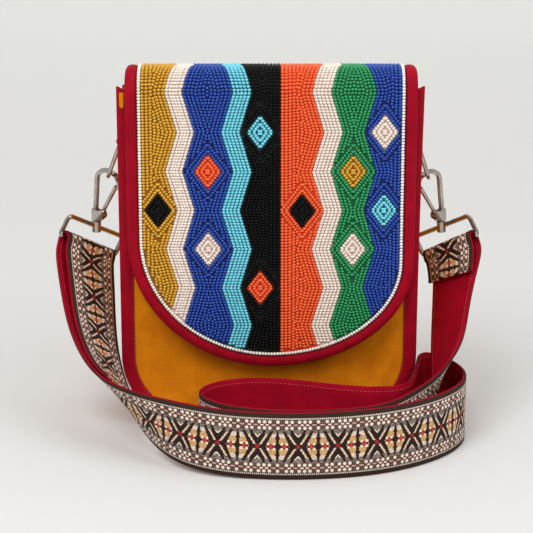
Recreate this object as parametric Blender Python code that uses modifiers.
# Beaded crossbody bag, standing on its base, with its strap laid in a loop on the floor before it.
# Metres, +Z up. The origin is the middle of the flat underside. +Y is the back, -Y the front.
# Left and right are the viewer's, from the front: left is -X.

from math import cos, pi, radians, sin, sqrt

import bmesh
import bpy
from mathutils import Matrix, Vector

MM = 0.001
CLEAR = 0.3 * MM             # between two pieces that touch

# Bag body
BAG_WIDTH = 176 * MM
BAG_HEIGHT = 206 * MM
BAG_DEPTH = 60 * MM          # front face of the front panel to back face of the back panel
CORNER_RADIUS = 45 * MM      # lower corners of both panels
TOP_PINCH = 12 * MM          # how far the back leans in at the top, drawn to the front by the flap
BACK_DROP = 6 * MM           # how much lower the back's top edge is
PANEL_WALL = 2.0 * MM
PANEL_SWELL = 2.5 * MM       # how far the middle of a panel stands out
DENT_DEPTH = 2.2 * MM        # soft dent at the lower right of the front panel
GUSSET_WALL = 1.8 * MM
GUSSET_INSET = 3.0 * MM      # side of the gusset inside the bound edges
GUSSET_SAG = 2.0 * MM        # how far the side falls in, at half depth
BINDING_WIDTH = 8.2 * MM
BINDING_BACK = 3.0 * MM      # its leg inside the bag
BINDING_WALL = 0.9 * MM

# Flap
FLAP_WIDTH = 168 * MM
FLAP_SHIFT = 1.2 * MM        # the flap sits a little to the right
FLAP_WALL = 2.2 * MM
FLAP_TIP_HEIGHT = 42 * MM    # lowest point of its edge above the floor
FLAP_CROWN = 10 * MM         # its highest line above the body's top edge
FLAP_FOLD_RADIUS = 12 * MM   # its fold at the front of the top
FLAP_BACK_RADIUS = 8 * MM    # its fold at the back
FLAP_BACK_CROWN = 5 * MM     # its back fold above the back's top edge
FLAP_BACK_DROP = 26 * MM     # how far it reaches down the back panel
FLAP_CURVE_LEFT = 77 * MM    # height of the U-shaped end, left and right
FLAP_CURVE_RIGHT = 63 * MM
FLAP_LIFT = 3.5 * MM         # how much further the tip stands off the front panel
FLAP_BINDING_WIDTH = 6.7 * MM
FLAP_BINDING_BACK = 5.0 * MM
BEAD_LAYER = 1.6 * MM

# Rings on the sides, and their tabs
RING_WIRE = 2.6 * MM
RING_WIDTH = 20 * MM         # between the middles of its two sides
RING_LENGTH = 24.5 * MM      # between the middles of its bar and its bow
TAB_WIDTH = 15 * MM
TAB_LENGTH = 26 * MM
TAB_WALL = 1.2 * MM

# Trigger snaps. Across runs from the spine towards the bag, up along the spine, from the swivel.
SWIVEL_DROP = 90.3 * MM      # below the body's top edge
SWIVEL_OUT = 16.4 * MM       # beyond the bag's side
SWIVEL_BACK = 5.4 * MM       # behind the bag's middle
SWIVEL_DIAMETER = 5.6 * MM
SWIVEL_LENGTH = 6.6 * MM
HOOK_WIRE = 3.2 * MM
HOOK_HEIGHT = 36.8 * MM      # to the middle of the arch's wire
HOOK_WIDTH = 19.3 * MM       # between the middles of the spine and the nose
HOOK_ARCH = 6.8 * MM         # rise of the arch
HOOK_NOSE = 2.8 * MM         # straight end below the arch
HOOK_TURN = 42.0             # degrees that the hook is turned to the front
HOOK_LEAN = {"left": 3.0, "right": 5.5}
RIVET_ACROSS = 4.3 * MM
RIVET_UP = 8.5 * MM
RIVET_DIAMETER = 1.8 * MM
CHEEK_WALL = 1.0 * MM
CHEEK_RADIUS = 2.7 * MM
GATE_WIRE = 2.5 * MM
GATE_EYE = 2.0 * MM          # radius
GATE_PLATE = 1.8 * MM        # its thickness between the cheeks
GATE_SHORT = 0.6 * MM        # how far its tip stops before the nose's end
RING_SEAT_ACROSS = 9.5 * MM  # where the ring hangs under the arch

# Strap
STRAP_WIDTH = 40 * MM
BACKING_WALL = 1.2 * MM
TAPE_WALL = 0.9 * MM
TAPE_MARGIN = 1.0 * MM       # backing seen beside the tape
STRAP_REACH = 85 * MM        # from the bag's front face to the front of the floor loop
TAIL_LENGTH = 104 * MM       # left end, laid back along the strap
TAIL_END_GAP = 2.0 * MM      # between the two layers' middles where they are sewn
TURN_UP_LENGTH = 21 * MM     # right end, sewn short
TURN_UP_END_GAP = 3.0 * MM
LOOP_WIRE = 3.0 * MM
LOOP_LEG = 13 * MM           # between the middles of its two bars
LOOP_SLACK = 1.3 * MM        # each side of the strap
LOOP_CORNER = 2.6 * MM
LOOP_YAW = 43.0              # degrees, outer end to the front
LOOP_ROLL = 27.0             # degrees, outer end up
LEFT_FOLD_RADIUS = 4.0 * MM
RIGHT_FOLD_RADIUS = 3.3 * MM

HALF_WIDTH = BAG_WIDTH / 2
HALF_DEPTH = BAG_DEPTH / 2
SIDES = {"left": -1, "right": 1}
FOLD_RADIUS = {"left": LEFT_FOLD_RADIUS, "right": RIGHT_FOLD_RADIUS}
WIRE_RESOLUTION = 2          # bevel resolution: wires have 8 sides

MATERIALS = {
    "canvas": ((0.55, 0.20, 0.015), 0.85, 0.0),
    "crimson": ((0.38, 0.004, 0.02), 0.8, 0.0),
    "beads": ((0.03, 0.09, 0.45), 0.3, 0.0),
    "nickel": ((0.62, 0.58, 0.54), 0.25, 1.0),
    "tape": ((0.25, 0.17, 0.12), 0.85, 0.0),
}


def start_scene():
    for old in list(bpy.data.objects):
        bpy.data.objects.remove(old, do_unlink=True)
    collections = {}
    for name in ("crossbody_bag", "cutters"):
        collections[name] = bpy.data.collections.new(name)
        bpy.context.scene.collection.children.link(collections[name])
    return collections


COLLECTIONS = start_scene()


def material(name):
    if name in bpy.data.materials:
        return bpy.data.materials[name]
    colour, roughness, metallic = MATERIALS[name]
    made = bpy.data.materials.new(name)
    made.use_nodes = True
    shader = made.node_tree.nodes["Principled BSDF"]
    shader.inputs["Base Color"].default_value = (*colour, 1.0)
    shader.inputs["Roughness"].default_value = roughness
    shader.inputs["Metallic"].default_value = metallic
    return made


def add_object(name, data, finish, collection="crossbody_bag"):
    made = bpy.data.objects.new(name, data)
    COLLECTIONS[collection].objects.link(made)
    if finish:
        made.data.materials.clear()
        made.data.materials.append(material(finish))
    return made


def blend(low, high, share):
    return low + (high - low) * share


def smooth(share):
    share = min(max(share, 0.0), 1.0)
    return share * share * (3 - 2 * share)


# A sheet is a grid of points laid by a function of (row, column) and thickened about its middle.
def sheet(name, rows, columns, place, wall, finish, offset=0.0):
    mesh = bpy.data.meshes.new(name)
    shape = bmesh.new()
    bmesh.ops.create_grid(shape, x_segments=columns - 1, y_segments=rows - 1, size=1)
    for vertex in shape.verts:
        column = round((vertex.co.x + 1) / 2 * (columns - 1))
        row = round((vertex.co.y + 1) / 2 * (rows - 1))
        vertex.co = place(row, column)
    shape.to_mesh(mesh)
    shape.free()
    made = add_object(name, mesh, finish)
    thicken = made.modifiers.new("wall", "SOLIDIFY")
    thicken.thickness = wall
    thicken.offset = offset
    thicken.use_even_offset = True
    mesh.shade_smooth()
    return made


def wire(name, points, diameter, closed=False):
    curve = bpy.data.curves.new(name, "CURVE")
    curve.dimensions = "3D"
    curve.bevel_depth = diameter / 2
    curve.bevel_resolution = WIRE_RESOLUTION
    curve.use_fill_caps = True
    spline = curve.splines.new("POLY")
    spline.points.add(len(points) - 1)
    for target, point in zip(spline.points, points):
        target.co = (*point, 1.0)
    spline.use_cyclic_u = closed
    return add_object(name, curve, None)


def plate(name, outline, thickness, middle=0.0):
    curve = bpy.data.curves.new(name, "CURVE")
    curve.dimensions = "2D"
    curve.fill_mode = "BOTH"
    curve.extrude = thickness / 2
    spline = curve.splines.new("POLY")
    spline.points.add(len(outline) - 1)
    for target, point in zip(spline.points, outline):
        target.co = (point[0], point[1], 0.0, 1.0)
    spline.use_cyclic_u = True
    made = add_object(name, curve, None)
    made.location.z = middle
    return made


def as_mesh(piece):
    bpy.context.view_layer.update()
    evaluated = piece.evaluated_get(bpy.context.evaluated_depsgraph_get())
    mesh = bpy.data.meshes.new_from_object(evaluated)
    shape = bmesh.new()
    shape.from_mesh(mesh)
    bmesh.ops.remove_doubles(shape, verts=shape.verts, dist=0.001 * MM)
    bmesh.ops.recalc_face_normals(shape, faces=shape.faces)
    shape.to_mesh(mesh)
    shape.free()
    made = add_object(piece.name + "_mesh", mesh, None)
    made.matrix_world = piece.matrix_world
    bpy.data.objects.remove(piece, do_unlink=True)
    return made


def cylinder(name, diameter, length, middle, sides=16):
    mesh = bpy.data.meshes.new(name)
    shape = bmesh.new()
    bmesh.ops.create_cone(shape, cap_ends=True, segments=sides, radius1=diameter / 2,
                          radius2=diameter / 2, depth=length)
    shape.to_mesh(mesh)
    shape.free()
    made = add_object(name, mesh, None)
    made.matrix_world = Matrix.Translation(middle)
    return made


def box(name, size, middle):
    mesh = bpy.data.meshes.new(name)
    shape = bmesh.new()
    bmesh.ops.create_cube(shape, size=1.0)
    bmesh.ops.scale(shape, vec=Vector(size), verts=shape.verts)
    shape.to_mesh(mesh)
    shape.free()
    made = add_object(name, mesh, None)
    made.matrix_world = Matrix.Translation(middle)
    return made


# Joins or cuts meshes that share the first one's frame, and gives the result its node name.
def combine(name, base, joined, cut, finish):
    for other, operation in [(p, "UNION") for p in joined] + [(p, "DIFFERENCE") for p in cut]:
        step = base.modifiers.new(operation.lower(), "BOOLEAN")
        step.operation = operation
        step.solver = "EXACT"
        step.object = other
    bpy.context.view_layer.update()
    evaluated = base.evaluated_get(bpy.context.evaluated_depsgraph_get())
    mesh = bpy.data.meshes.new_from_object(evaluated)
    mesh.name = name
    for old in [base, *joined, *cut]:
        bpy.data.objects.remove(old, do_unlink=True)
    mesh.set_sharp_from_angle(angle=radians(35))
    return add_object(name, mesh, finish)


# Body outline, from the top of the left side, round the bottom, to the top of the right side.
def outline(side_rows=5, arc_rows=8, bottom_rows=5):
    flat = HALF_WIDTH - CORNER_RADIUS
    line = []
    for step in range(side_rows):
        height = blend(BAG_HEIGHT, CORNER_RADIUS, step / side_rows)
        line.append((Vector((-HALF_WIDTH, 0, height)), Vector((-1, 0, 0))))
    for step in range(arc_rows + 1):
        angle = step / arc_rows * pi / 2
        out = Vector((-cos(angle), 0, -sin(angle)))
        line.append((Vector((-flat, 0, CORNER_RADIUS)) + out * CORNER_RADIUS, out))
    for step in range(1, bottom_rows):
        line.append((Vector((blend(-flat, flat, step / bottom_rows), 0, 0)), Vector((0, 0, -1))))
    mirrored = [(Vector((-p.x, 0, p.z)), Vector((-n.x, 0, n.z))) for p, n in reversed(line)]
    middle = bottom_rows - 1
    return line + mirrored[middle:]


# The slack body: towards the top the back leans in and drops. Back is 0 on the front panel, 1 on
# the back one.
def settle(spot, back):
    rise = max(spot.z - CORNER_RADIUS, 0) / (BAG_HEIGHT - CORNER_RADIUS)
    return Vector((spot.x, spot.y - TOP_PINCH * back * rise * rise, spot.z - BACK_DROP * back * rise))


# How far a panel's face stands out of its plane: a swell, and on the front one soft dent.
def swell(x, z, dented):
    out = PANEL_SWELL * cos(pi / 2 * min(abs(x) / HALF_WIDTH, 1)) * sin(pi * min(z / BAG_HEIGHT, 1))
    if dented:
        across = (x - 0.66 * HALF_WIDTH) / (0.16 * HALF_WIDTH)
        up = (z - 0.22 * BAG_HEIGHT) / (0.11 * BAG_HEIGHT)
        out -= DENT_DEPTH * 2.718 ** (-(across * across + up * up))
    return out


def make_panel(name, facing):
    inset = BINDING_WALL + CLEAR
    corner = CORNER_RADIUS - inset
    flat = HALF_WIDTH - CORNER_RADIUS
    arc = [step / 7 * pi / 2 for step in range(1, 8)]
    across = [(flat + corner * sin(a), corner * (1 - cos(a))) for a in arc]
    middle = [(blend(-flat, flat, step / 6), 0.0) for step in range(7)]
    columns = [(-x, z) for x, z in reversed(across)] + middle + across
    rows = 9

    def place(row, column):
        x, low = columns[column]
        z = blend(inset + low, BAG_HEIGHT - inset, row / (rows - 1))
        y = facing * (HALF_DEPTH - PANEL_WALL / 2 + swell(x, z, facing < 0))
        return settle(Vector((x, y, z)), max(facing, 0))

    return sheet(name, rows, len(columns), place, PANEL_WALL, "canvas")


# A strip folded round a panel's edge: wide leg outside, short leg inside.
def make_body_binding(name, facing):
    line = outline()
    half = BINDING_WALL / 2
    outer = CLEAR + half
    inner = -PANEL_WALL - CLEAR - half
    profile = [(BINDING_WIDTH, outer), (BINDING_WIDTH / 2, outer), (half, outer),
               (half, inner), (BINDING_BACK, inner)]

    def place(row, column):
        point, out = line[row]
        depth, lift = profile[column]
        spot = point - out * depth
        face = HALF_DEPTH + swell(spot.x, spot.z, facing < 0) + lift
        return settle(Vector((spot.x, facing * face, spot.z)), max(facing, 0))

    return sheet(name, len(line), len(profile), place, BINDING_WALL, "crimson")


def gusset_half_depth():
    return HALF_DEPTH - PANEL_WALL - 2 * CLEAR - BINDING_WALL


def gusset_sag(y):
    share = y / gusset_half_depth()
    return GUSSET_SAG * cos(pi / 2 * share) ** 2


def make_gusset():
    line = outline()
    columns = 5
    reach = gusset_half_depth()

    def place(row, column):
        point, out = line[row]
        y = blend(-reach, reach, column / (columns - 1))
        inset = abs(out.x) * (GUSSET_INSET + gusset_sag(y))
        spot = point - out * inset
        return settle(Vector((spot.x, y, spot.z)), column / (columns - 1))

    return sheet("gusset", len(line), columns, place, GUSSET_WALL, "canvas", offset=-1.0)


# The flap's middle surface in the plane x = 0: up the back, over the top and down the front.
def flap_profile():
    out = HALF_DEPTH + 3 * CLEAR + 2 * BINDING_WALL + FLAP_WALL / 2 + PANEL_SWELL / 2
    top = BAG_HEIGHT + FLAP_CROWN
    back_top = BAG_HEIGHT - BACK_DROP + FLAP_BACK_CROWN
    points = []
    for share in (1.0, 0.5):
        points.append(settle(Vector((0, out, BAG_HEIGHT - FLAP_BACK_DROP * share)), 1))
    back = settle(Vector((0, out, BAG_HEIGHT)), 1).y - FLAP_BACK_RADIUS
    for step in range(4):
        turn = Vector((0, cos(step / 3 * pi / 2), sin(step / 3 * pi / 2)))
        points.append(Vector((0, back, back_top - FLAP_BACK_RADIUS)) + turn * FLAP_BACK_RADIUS)
    front = FLAP_FOLD_RADIUS - out
    points.append(Vector((0, blend(back, front, 0.4), blend(back_top, top, 0.55))))
    points.append(Vector((0, blend(back, front, 0.75), top - 0.05 * FLAP_CROWN)))
    for step in range(7):
        turn = Vector((0, -sin(step / 6 * pi / 2), cos(step / 6 * pi / 2)))
        points.append(Vector((0, front, top - FLAP_FOLD_RADIUS)) + turn * FLAP_FOLD_RADIUS)
    lengths = [0.0]
    for before, after in zip(points, points[1:]):
        lengths.append(lengths[-1] + (after - before).length)
    return points, lengths


FLAP_POINTS, FLAP_LENGTHS = flap_profile()
FLAP_FOLD_END = FLAP_LENGTHS[-1]
FLAP_TIP = FLAP_FOLD_END + FLAP_POINTS[-1].z - FLAP_TIP_HEIGHT


# A point of the flap at x, a length along it from its back edge, raised off its middle surface.
def flap_point(x, along, raised=0.0):
    share = min(abs(x - FLAP_SHIFT) / (FLAP_WIDTH / 2), 1.0)
    if along >= FLAP_FOLD_END:
        down = (along - FLAP_FOLD_END) / (FLAP_TIP - FLAP_FOLD_END)
        spot = FLAP_POINTS[-1] - Vector((0, 0, along - FLAP_FOLD_END))
        bulge = PANEL_SWELL * cos(pi / 2 * share) * sin(pi * min(down, 1) * 0.8)
        spot.y -= FLAP_LIFT * down * down + bulge
        normal = Vector((0, -1, 0))
    else:
        index = max(i for i in range(len(FLAP_LENGTHS) - 1) if FLAP_LENGTHS[i] <= along + 1e-9)
        start, end = FLAP_POINTS[index], FLAP_POINTS[index + 1]
        part = (along - FLAP_LENGTHS[index]) / (FLAP_LENGTHS[index + 1] - FLAP_LENGTHS[index])
        spot = start.lerp(end, part)
        normal = blend(flap_normal(index), flap_normal(index + 1), part).normalized()
    return Vector((x, spot.y, spot.z)) + normal * raised


def flap_normal(index):
    before = FLAP_POINTS[max(index - 1, 0)]
    after = FLAP_POINTS[min(index + 1, len(FLAP_POINTS) - 1)]
    run = (after - before).normalized()
    return Vector((0, run.z, -run.y))


# Where the flap's edge lies at x, pulled in by an inset on all its sides.
def flap_edge(share, inset):
    half = FLAP_WIDTH / 2 - inset
    drop = FLAP_CURVE_LEFT if share < 0 else FLAP_CURVE_RIGHT
    return FLAP_SHIFT + half * share, FLAP_TIP - drop + (drop - inset) * sqrt(max(1 - share * share, 0))


def make_flap_sheet(name, inset, start, raised, wall, finish):
    half_columns = 6
    shares = [sin(pi / 2 * step / half_columns) for step in range(-half_columns, half_columns + 1)]
    folds = [length for length in FLAP_LENGTHS if length > start + MM]
    fixed = [start] + folds
    lower = 7

    def place(row, column):
        x, end = flap_edge(shares[column], inset)
        if row < len(fixed):
            return flap_point(x, fixed[row], raised)
        along = blend(FLAP_FOLD_END, end, (row - len(fixed) + 1) / lower)
        return flap_point(x, along, raised)

    return sheet(name, len(fixed) + lower, len(shares), place, wall, finish)


def make_flap_binding():
    half = BINDING_WALL / 2
    lift = FLAP_WALL / 2 + CLEAR + half
    line = []
    straight = 4
    for side in (-1, 1):
        x, end = flap_edge(side, 0.0)
        run = [(Vector((x, along)), Vector((side, 0))) for along in FLAP_LENGTHS]
        for step in range(1, straight):
            run.append((Vector((x, blend(FLAP_FOLD_END, end, step / straight))), Vector((side, 0))))
        line.append(run)
    curve = []
    arc_rows = 20
    for step in range(arc_rows + 1):
        angle = -pi / 2 + pi * step / arc_rows
        x, along = flap_edge(sin(angle), 0.0)
        drop = FLAP_CURVE_LEFT if angle < 0 else FLAP_CURVE_RIGHT
        out = Vector((sin(angle) * drop, cos(angle) * FLAP_WIDTH / 2)).normalized()
        curve.append((Vector((x, along)), out))
    path = line[0] + curve + list(reversed(line[1]))
    profile = [(FLAP_BINDING_WIDTH, lift), (FLAP_BINDING_WIDTH / 2, lift), (half, lift),
               (half, -lift), (FLAP_BINDING_BACK, -lift)]

    def place(row, column):
        point, out = path[row]
        depth, raised = profile[column]
        spot = point - out * depth
        return flap_point(spot.x, spot.y, raised)

    return sheet("flap_binding", len(path), len(profile), place, BINDING_WALL, "crimson")


# Places of one side's hardware: origin at the swivel, with its across, up and turning directions.
def hook_frame(side):
    sign = SIDES[side]
    origin = Vector((sign * (HALF_WIDTH + SWIVEL_OUT), SWIVEL_BACK, BAG_HEIGHT - SWIVEL_DROP))
    level = Vector((-sign * cos(radians(HOOK_TURN)), -sin(radians(HOOK_TURN)), 0))
    lean = radians(HOOK_LEAN[side])
    across = level * cos(lean) - Vector((0, 0, 1)) * sin(lean)
    up = level * sin(lean) + Vector((0, 0, 1)) * cos(lean)
    axis = across.cross(up)
    turn = Matrix((across, up, axis)).transposed().to_4x4()
    return Matrix.Translation(origin) @ turn


# The closed gate's turn from the spine, and its length from the rivet to its tip.
def closed_gate():
    nose_gap = HOOK_WIRE / 2 + CLEAR + GATE_WIRE / 2
    reach = Vector((HOOK_WIDTH - RIVET_ACROSS, HOOK_HEIGHT - HOOK_ARCH - HOOK_NOSE - RIVET_UP))
    return Vector((0, 1)).angle(reach) - nose_gap / reach.length, reach.length - GATE_SHORT


def hook_line():
    points = [(-0.2 * HOOK_WIRE, SWIVEL_LENGTH / 2 + 2 * CLEAR), (-0.25 * HOOK_WIRE, 0.3 * HOOK_HEIGHT)]
    for step in range(11):
        angle = pi * (1 - step / 10)
        across = HOOK_WIDTH / 2 * (1 + cos(angle))
        points.append((across, HOOK_HEIGHT - HOOK_ARCH + HOOK_ARCH * sin(angle)))
    points.append((HOOK_WIDTH, HOOK_HEIGHT - HOOK_ARCH - HOOK_NOSE))
    return [(across, up, 0.0) for across, up in points]


def cheek_outline():
    foot = SWIVEL_LENGTH / 2 + CLEAR
    left = -0.7 * HOOK_WIRE
    points = [(left, foot), (0.8 * HOOK_WIRE, foot)]
    for step in range(7):
        angle = radians(blend(-50, 130, step / 6))
        points.append((RIVET_ACROSS + CHEEK_RADIUS * cos(angle), RIVET_UP + CHEEK_RADIUS * sin(angle)))
    points.append((left, RIVET_UP + CHEEK_RADIUS))
    return points


def make_snap_body(side):
    name = "snap_body_" + side
    inner = GATE_PLATE / 2 + CLEAR
    spine = as_mesh(wire(name + "_wire", hook_line(), HOOK_WIRE))
    joined = []
    for facing in (-1, 1):
        middle = facing * (inner + CHEEK_WALL / 2)
        joined.append(as_mesh(plate(name + "_cheek" + str(facing), cheek_outline(), CHEEK_WALL, middle)))
    foot = SWIVEL_LENGTH / 2 + CLEAR
    step_up = RIVET_UP - GATE_EYE - 2 * CLEAR - foot
    foot_width = 1.3 * HOOK_WIRE
    joined.append(box(name + "_foot", (foot_width, step_up, 2 * (inner + CHEEK_WALL) - 0.2 * CHEEK_WALL),
                      (0, foot + step_up / 2 - 0.3 * CLEAR, 0)))
    joined.append(cylinder(name + "_rivet", RIVET_DIAMETER, 2 * (inner + CHEEK_WALL) + 0.6 * MM,
                           (RIVET_ACROSS, RIVET_UP, 0)))
    made = combine(name, spine, joined, [], "nickel")
    made.matrix_world = hook_frame(side)
    return made


def make_snap_gate(side):
    name = "snap_gate_" + side
    turn, length = closed_gate()
    eye = cylinder(name + "_eye", 2 * GATE_EYE, GATE_PLATE, (0, 0, 0))
    neck_end = CHEEK_RADIUS + 3 * CLEAR
    neck_reach = neck_end + MM
    neck_size = (GATE_WIRE * 0.8, neck_reach, GATE_PLATE * 0.96)
    neck = box(name + "_neck", neck_size, (0, neck_reach / 2, 0))
    arm = as_mesh(wire(name + "_arm", [(0, neck_end, 0), (0, length, 0)], GATE_WIRE))
    hole = cylinder(name + "_hole", RIVET_DIAMETER + 2 * CLEAR, 4 * GATE_PLATE, (0, 0, 0))
    made = combine(name, eye, [neck, arm], [hole], "nickel")
    place = Matrix.Translation((RIVET_ACROSS, RIVET_UP, 0)) @ Matrix.Rotation(-turn, 4, "Z")
    made.matrix_world = hook_frame(side) @ place
    return made


# Outer face of the gusset where a tab as wide as the ring's sits about the line y.
def tab_wall(y):
    return HALF_WIDTH - GUSSET_INSET - gusset_sag(abs(y) + TAB_WIDTH / 2 + TOP_PINCH / 2)


# The ring hangs under the hook's arch and leans in to its tab on the gusset.
def ring_places(side):
    sign = SIDES[side]
    frame = hook_frame(side)
    share = 2 * RING_SEAT_ACROSS / HOOK_WIDTH - 1
    arch = HOOK_HEIGHT - HOOK_ARCH + HOOK_ARCH * sqrt(1 - share * share)
    seat = arch - HOOK_WIRE / 2 - RING_WIRE / 2 - 2 * CLEAR
    low = frame @ Vector((RING_SEAT_ACROSS, seat, 0))
    bar_x = sign * (tab_wall(low.y) + 2 * CLEAR + TAB_WALL + RING_WIRE / 2)
    rise = sqrt(max(RING_LENGTH ** 2 - (low.x - bar_x) ** 2, 0))
    return low, Vector((bar_x, low.y, low.z + rise))


def make_ring(side):
    low, bar = ring_places(side)
    down = (low - bar).normalized()
    half = RING_WIDTH / 2
    corner = 0.25 * half
    line = [(-half + corner, 0.0), (half - corner, 0.0), (half - 0.3 * corner, 0.3 * corner), (half, corner)]
    for step in range(11):
        angle = pi * step / 10
        line.append((half * cos(angle), RING_LENGTH - half + half * sin(angle)))
    line += [(-half, corner), (-half + 0.3 * corner, 0.3 * corner)]
    points = [bar + Vector((0, y, 0)) + down * length for y, length in line]
    ring = as_mesh(wire("ring", points, RING_WIRE, closed=True))
    return combine("bag_ring_" + side, ring, [], [], "nickel")


def make_ring_tab(side):
    sign = SIDES[side]
    bar = ring_places(side)[1]
    radius = RING_WIRE / 2 + CLEAR + TAB_WALL / 2
    inner = tab_wall(bar.y) + CLEAR + TAB_WALL / 2
    spread = TAB_WALL + 2 * CLEAR
    profile = [(inner, TAB_LENGTH), (inner, 0.5 * TAB_LENGTH), (inner, 0.15 * TAB_LENGTH)]
    for step in range(9):
        angle = pi * (1 + step / 8)
        profile.append((abs(bar.x) + radius * cos(angle), radius * sin(angle)))
    profile += [(inner + spread, 0.3 * TAB_LENGTH), (inner + spread, 0.65 * TAB_LENGTH),
                (inner + spread, TAB_LENGTH)]

    def place(row, column):
        x, up = profile[row]
        y = bar.y + (column / 2 - 0.5) * TAB_WIDTH
        return Vector((sign * x, y, bar.z + up))

    return sheet("ring_tab_" + side, len(profile), 3, place, TAB_WALL, "crimson")


# Directions of a strap loop: along its bars to the outside, down its legs, and along the strap.
def loop_frame(side):
    sign = SIDES[side]
    yaw, roll = radians(LOOP_YAW), radians(LOOP_ROLL)
    out = Vector((sign * cos(roll) * cos(yaw), -cos(roll) * sin(yaw), sin(roll)))
    legs = Vector((sign * 0.38, -0.15, -0.91))
    legs = (legs - out * legs.dot(out)).normalized()
    strap = Vector((sign * 0.1, -0.5, -0.86))
    strap = (strap - out * strap.dot(out)).normalized()
    return out, legs, strap


def loop_bar(side):
    out, legs, strap = loop_frame(side)
    return hook_frame(side).translation + legs * LOOP_LEG


def make_strap_loop(side):
    name = "strap_loop_" + side
    out, legs, strap = loop_frame(side)
    origin = hook_frame(side).translation
    half = STRAP_WIDTH / 2 + LOOP_SLACK + LOOP_WIRE / 2
    points = []
    for corner_out, corner_down, start in ((1, 0, -90), (1, 1, 0), (-1, 1, 90), (-1, 0, 180)):
        middle_out = corner_out * (half - LOOP_CORNER)
        middle_down = LOOP_CORNER if corner_down == 0 else LOOP_LEG - LOOP_CORNER
        for step in range(4):
            angle = radians(start + 30 * step)
            points.append(origin + out * (middle_out + LOOP_CORNER * cos(angle))
                          + legs * (middle_down + LOOP_CORNER * sin(angle)))
    ring = as_mesh(wire(name + "_wire", points, LOOP_WIRE, closed=True))
    barrel = cylinder(name + "_barrel", SWIVEL_DIAMETER, SWIVEL_LENGTH, (0, 0, 0))
    barrel.matrix_world = hook_frame(side) @ Matrix.Rotation(radians(90), 4, "X")
    return combine(name, ring, [barrel], [], "nickel")


# Strap route, travelling from the left loop to the right one. Each row is a station of the
# backing's middle: across as a share of half the bag's width, forward as a share of the reach in
# front of the bag, up from 1 with the strap on edge on the floor to 2 level with the loops' lower
# bars, then where its upper edge points.
ROUTE_COLUMNS = ("across", "forward", "up", "edge_x", "edge_y", "edge_z")
ROUTE = (
    (-1.268, -0.212, 1.7003, -0.63, -0.50, 0.60),
    (-1.236, -0.047, 1.5151, -0.58, -0.45, 0.68),
    (-1.178, 0.118, 1.3371, -0.58, -0.34, 0.74),
    (-1.050, 0.345, 1.1852, -0.62, -0.15, 0.77),
    (-0.945, 0.530, 1.1139, -0.60, -0.06, 0.80),
    (-0.735, 0.765, 1.0760, -0.45, -0.03, 0.89),
    (-0.505, 0.900, 1.0190, -0.15, 0.00, 0.99),
    (-0.205, 0.970, 1.0000, 0.00, 0.00, 1.00),
    (0.136, 1.000, 1.0000, 0.00, 0.00, 1.00),
    (0.523, 0.965, 1.0000, 0.00, 0.00, 1.00),
    (0.841, 0.855, 1.0000, 0.00, 0.00, 1.00),
    (1.114, 0.647, 1.0000, 0.00, 0.00, 1.00),
    (1.300, 0.400, 1.0000, 0.00, 0.00, 1.00),
    (1.345, 0.150, 1.0000, 0.00, 0.00, 1.00),
    (1.270, -0.080, 1.0000, 0.00, 0.00, 1.00),
    (1.160, -0.240, 1.0000, 0.00, 0.00, 1.00),
    (1.060, -0.300, 1.0000, 0.00, 0.00, 1.00),
    (1.027, -0.200, 1.0000, 0.00, 0.00, 1.00),
    (1.020, 0.060, 1.0000, 0.00, 0.00, 1.00),
    (0.985, 0.310, 1.0000, 0.00, 0.00, 1.00),
    (0.900, 0.460, 1.0000, 0.00, 0.00, 1.00),
    (0.760, 0.490, 1.0000, 0.00, 0.00, 1.00),
    (0.560, 0.475, 1.0000, 0.00, 0.00, 1.00),
    (0.340, 0.400, 1.0000, 0.00, 0.00, 1.00),
    (0.120, 0.300, 1.0000, 0.00, 0.00, 1.00),
    (-0.120, 0.262, 1.0000, 0.00, 0.00, 1.00),
    (-0.340, 0.335, 1.0000, 0.00, 0.00, 1.00),
    (-0.460, 0.475, 1.0000, 0.00, 0.00, 1.00),
    (-0.470, 0.640, 1.0000, 0.00, 0.00, 1.00),
    (-0.350, 0.790, 1.0000, 0.00, 0.00, 1.00),
    (-0.140, 0.910, 1.0000, 0.00, 0.00, 1.00),
    (0.136, 0.950, 1.0000, 0.00, 0.00, 1.00),
    (0.480, 0.920, 1.0000, 0.00, 0.00, 1.00),
    (0.700, 0.845, 1.0000, 0.00, 0.00, 1.00),
    (0.815, 0.745, 1.0047, 0.01, 0.00, 1.00),
    (0.909, 0.647, 1.0190, 0.02, 0.00, 1.00),
    (1.006, 0.541, 1.0475, 0.05, 0.00, 1.00),
    (1.080, 0.425, 1.0855, 0.12, -0.05, 0.99),
    (1.142, 0.271, 1.1662, 0.25, -0.15, 0.95),
    (1.201, 0.113, 1.2849, 0.38, -0.32, 0.87),
    (1.215, -0.035, 1.4510, 0.46, -0.50, 0.73),
    (1.240, -0.178, 1.6576, 0.48, -0.60, 0.64),
)


def station(row):
    values = dict(zip(ROUTE_COLUMNS, row))
    on_floor = STRAP_WIDTH / 2
    risen = (values["up"] - 1) * (loop_bar("left").z - on_floor)
    place = Vector((values["across"] * HALF_WIDTH,
                    -HALF_DEPTH - values["forward"] * STRAP_REACH,
                    on_floor + risen))
    edge = Vector((values["edge_x"], values["edge_y"], values["edge_z"])).normalized()
    return place, edge


# Ends of the strap's main run at a loop: where it leaves the fold, and its direction there.
def strap_end(side):
    out, legs, strap = loop_frame(side)
    radius = FOLD_RADIUS[side]
    along = strap if side == "left" else -strap
    face = along.cross(out)
    seat = radius - BACKING_WALL / 2 - CLEAR - LOOP_WIRE / 2
    middle = loop_bar(side) + strap * seat
    return middle, middle + face * radius, along, out, face


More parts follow.
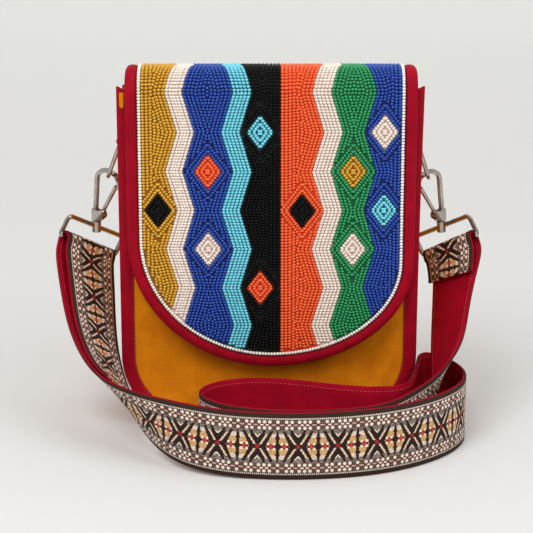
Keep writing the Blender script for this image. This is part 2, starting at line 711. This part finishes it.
def spline_point(knots, share):
    segment = min(int(share), len(knots) - 2)
    t = share - segment
    before = knots[max(segment - 1, 0)]
    start, end = knots[segment], knots[segment + 1]
    after = knots[min(segment + 2, len(knots) - 1)]
    return 0.5 * (2 * start + (end - before) * t + (2 * before - 5 * start + 4 * end - after) * t * t
                  + (3 * start - before - 3 * end + after) * t * t * t)


# Frames of the main run: place, direction, upper edge and patterned face.
def strap_run(steps=3):
    knots, edges = [], []
    for side in ("left", "right"):
        middle, place, along, out, face = strap_end(side)
        lead = along if side == "left" else -along
        pair = [place, place + lead * 0.25 * STRAP_WIDTH]
        if side == "left":
            knots += pair
            edges += [out, out]
            for row in ROUTE:
                spot, edge = station(row)
                knots.append(spot)
                edges.append(edge)
        else:
            knots += list(reversed(pair))
            edges += [out, out]
    frames = []
    total = (len(knots) - 1) * steps
    for index in range(total + 1):
        share = index / steps
        place = spline_point(knots, share)
        ahead = spline_point(knots, min(share + 0.05, len(knots) - 1))
        behind = spline_point(knots, max(share - 0.05, 0))
        along = (ahead - behind).normalized()
        edge = spline_point(edges, share)
        edge = (edge - along * edge.dot(along)).normalized()
        frames.append((place, along, edge, along.cross(edge)))
    return frames


def fold_frames(side, end_frame):
    middle = strap_end(side)[0]
    radius = FOLD_RADIUS[side]
    place, along, edge, face = end_frame
    away = along if side == "left" else -along
    frames = []
    steps = 8
    for step in range(1, steps):
        angle = pi * step / steps
        out = face * cos(angle) - away * sin(angle)
        frames.append((middle + out * radius, edge, out))
    return frames


# An end of the band turned back over its fold and laid along the frames of the main run.
def laid_back(frames, length, apart, apart_end):
    laid = []
    gone = 0.0
    for index, (place, along, edge, face) in enumerate(frames):
        if index:
            gone += (place - frames[index - 1][0]).length
        if gone > length:
            break
        laid.append((place - face * blend(apart, apart_end, smooth(gone / length)), edge, -face))
    return laid


# The whole band: the left tail, the left fold, the main run, the right fold and the short turn-up.
def strap_frames():
    run = strap_run()
    back = list(reversed(run))
    tail = laid_back(run, TAIL_LENGTH, 2 * FOLD_RADIUS["left"], TAIL_END_GAP)
    turned = laid_back(back, TURN_UP_LENGTH, 2 * FOLD_RADIUS["right"], TURN_UP_END_GAP)
    main = [(place, edge, face) for place, along, edge, face in run]
    left_fold = fold_frames("left", run[0])
    right_fold = fold_frames("right", run[-1])
    return list(reversed(tail)) + list(reversed(left_fold)) + main + right_fold + turned


def make_strap_layer(name, frames, width, raised, wall, finish):
    def place(row, column):
        spot, edge, face = frames[row]
        return spot + edge * (column - 0.5) * width + face * raised

    return sheet(name, len(frames), 2, place, wall, finish)


def build():
    make_panel("front_panel", -1)
    make_panel("back_panel", 1)
    make_gusset()
    make_body_binding("front_binding", -1)
    make_body_binding("back_binding", 1)
    panel_inset = BINDING_WALL + CLEAR
    make_flap_sheet("flap_panel", panel_inset, 0.0, 0.0, FLAP_WALL, "crimson")
    bead_raise = FLAP_WALL / 2 + CLEAR + BEAD_LAYER / 2
    bead_start = FLAP_LENGTHS[4]
    make_flap_sheet("bead_panel", FLAP_BINDING_WIDTH + CLEAR, bead_start, bead_raise, BEAD_LAYER, "beads")
    make_flap_binding()
    for side in SIDES:
        make_ring_tab(side)
        make_ring(side)
        make_snap_body(side)
        make_snap_gate(side)
        make_strap_loop(side)
    frames = strap_frames()
    make_strap_layer("strap_backing", frames, STRAP_WIDTH, 0.0, BACKING_WALL, "crimson")
    tape_raise = BACKING_WALL / 2 + CLEAR + TAPE_WALL / 2
    make_strap_layer("strap_tape", frames, STRAP_WIDTH - 2 * TAPE_MARGIN, tape_raise, TAPE_WALL, "tape")


build()
